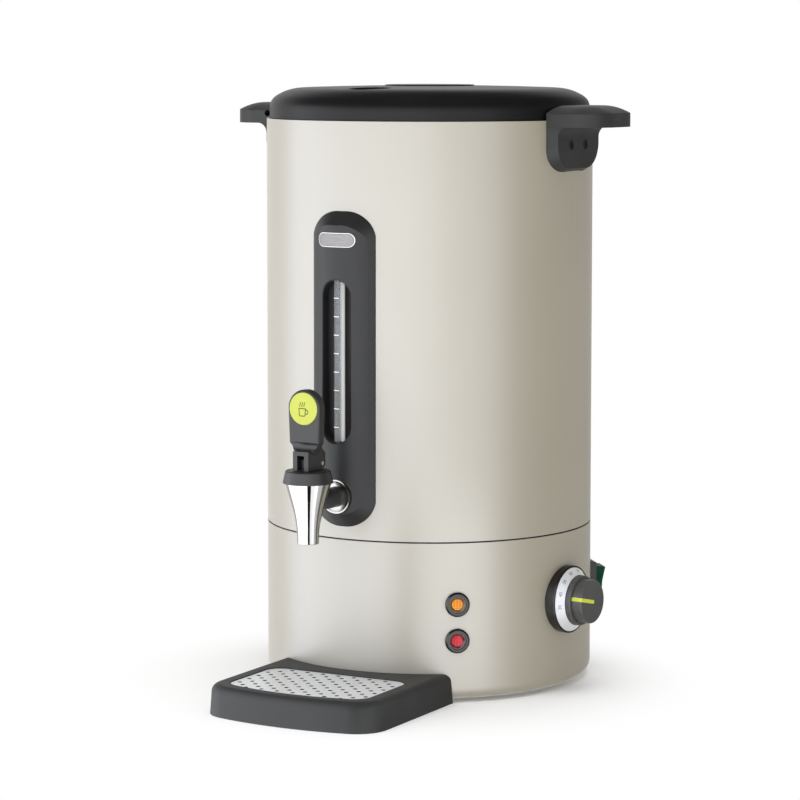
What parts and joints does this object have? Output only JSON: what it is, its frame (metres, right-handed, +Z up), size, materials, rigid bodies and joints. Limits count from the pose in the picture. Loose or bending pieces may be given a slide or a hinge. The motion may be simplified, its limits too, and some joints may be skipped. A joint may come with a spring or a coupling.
{
  "type": "hot drink dispenser",
  "caption": "Upright round hot drink dispenser with insulated tank, domed lift-off lid, side handles, sight gauge, lever tap, thermostat knob, lamps, switch and loose drip tray.",
  "frame": {"origin": "on the body's axis, at the floor that the feet stand on", "axes": "+Z up along the body's axis; -Y towards the tap and the drip tray; +X towards the right-hand handle and the temperature knob"},
  "size_m": [0.3274, 0.3619, 0.4527],
  "materials": {
    "body_paint": "matt greige powder coat",
    "black_plastic": "satin black",
    "chrome": "polished",
    "steel": "brushed",
    "zinc": "zinc plated",
    "rubber": "matt",
    "silicone": "translucent white silicone",
    "wool": "fibre mat",
    "tube_clear": "clear tube",
    "lime": "lime yellow",
    "amber": "translucent amber",
    "red": "translucent red",
    "green": "dark translucent green",
    "dial_silver": "fine brushed with printed numbers",
    "badge_silver": "blank, satin",
    "heater_metal": "cast",
    "cream_plastic": "moulded"
  },
  "bodies": {
    "dispenser": {"base_shell": "body_paint", "outer_shell": "body_paint", "seam_gasket": "rubber", "tank": "steel", "insulation_jacket": "wool", "handle_left": "black_plastic", "handle_right": "black_plastic", "handle_screws": "zinc", "handle_nut_plates": "zinc", "gauge_panel": "black_plastic", "sight_tube": "tube_clear", "gauge_seals": "silicone", "badge_plate": "badge_silver", "tap_shank": "black_plastic", "shank_collar": "chrome", "shank_spacer": "black_plastic", "shank_gasket": "silicone", "shank_nut": "zinc", "spout": "chrome", "bonnet": "black_plastic", "closing_spring": "steel", "lever_pin": "steel", "dial_bezel": "black_plastic", "dial_ring": "dial_silver", "thermostat": "cream_plastic", "capillary": "zinc", "lamp_bezels": "black_plastic", "amber_lens": "amber", "red_lens": "red", "lamp_bodies": "cream_plastic", "switch_housing": "black_plastic", "heater_plate": "heater_metal", "heating_element": "steel", "thermal_cutout": "cream_plastic", "tie_stud": "zinc", "tie_nut": "zinc", "base_plate": "zinc", "base_screws": "zinc", "feet": "rubber", "cable_gland": "black_plastic", "gland_nut": "black_plastic", "terminal_block": "cream_plastic"},
    "lever": {"lever": "black_plastic", "lever_disc": "lime", "link_pin": "steel"},
    "stem": {"valve_stem": "steel", "seat_cup": "silicone"},
    "knob": {"knob": "black_plastic", "knob_pointer": "lime", "knob_shaft": "steel"},
    "rocker": {"rocker": "green"},
    "lid": {"lid": "black_plastic", "lid_seal": "silicone"},
    "tray": {"drip_tray": "black_plastic"},
    "grid": {"drip_grid": "steel"}
  },
  "joints": [
    {"name": "lever_tilt", "type": "hinge", "parent": "dispenser", "child": "lever", "pos_m": [0, -0.1624, 0.1806], "axis": [-1, 0, 0], "range_deg": [0, 25], "stiffness_Nm_per_rad": 0.04, "springref_deg": -45.84},
    {"name": "stem_lift", "type": "slide", "parent": "dispenser", "child": "stem", "axis": [0, 0, 1], "range_m": [0, 0.0038], "deforming": ["closing_spring"]},
    {"name": "knob_turn", "type": "hinge", "parent": "dispenser", "child": "knob", "pos_m": [0.12424, -0.00803, 0.0685], "axis": [-0.9979, 0.0645, 0], "range_deg": [-20, 192]},
    {"name": "rocker_tip", "type": "hinge", "parent": "dispenser", "child": "rocker", "pos_m": [0.09352, 0.08813, 0.067], "axis": [0.6858, -0.7278, 0], "range_deg": [0, 16]},
    {"name": "lid_lift", "type": "slide", "parent": "dispenser", "child": "lid", "axis": [0, 0, 1], "range_m": [0, 0.08]},
    {"name": "tray_slide", "type": "slide", "parent": "dispenser", "child": "tray", "axis": [0.0454, -0.999, 0], "range_m": [0, 0.15]},
    {"name": "grid_lift", "type": "slide", "parent": "tray", "child": "grid", "axis": [0, 0, 1], "range_m": [0, 0.04]}
  ],
  "couplings": [
    {"joint": "stem_lift", "follows": "lever_tilt", "m_per_rad": 0.00852}
  ]
}
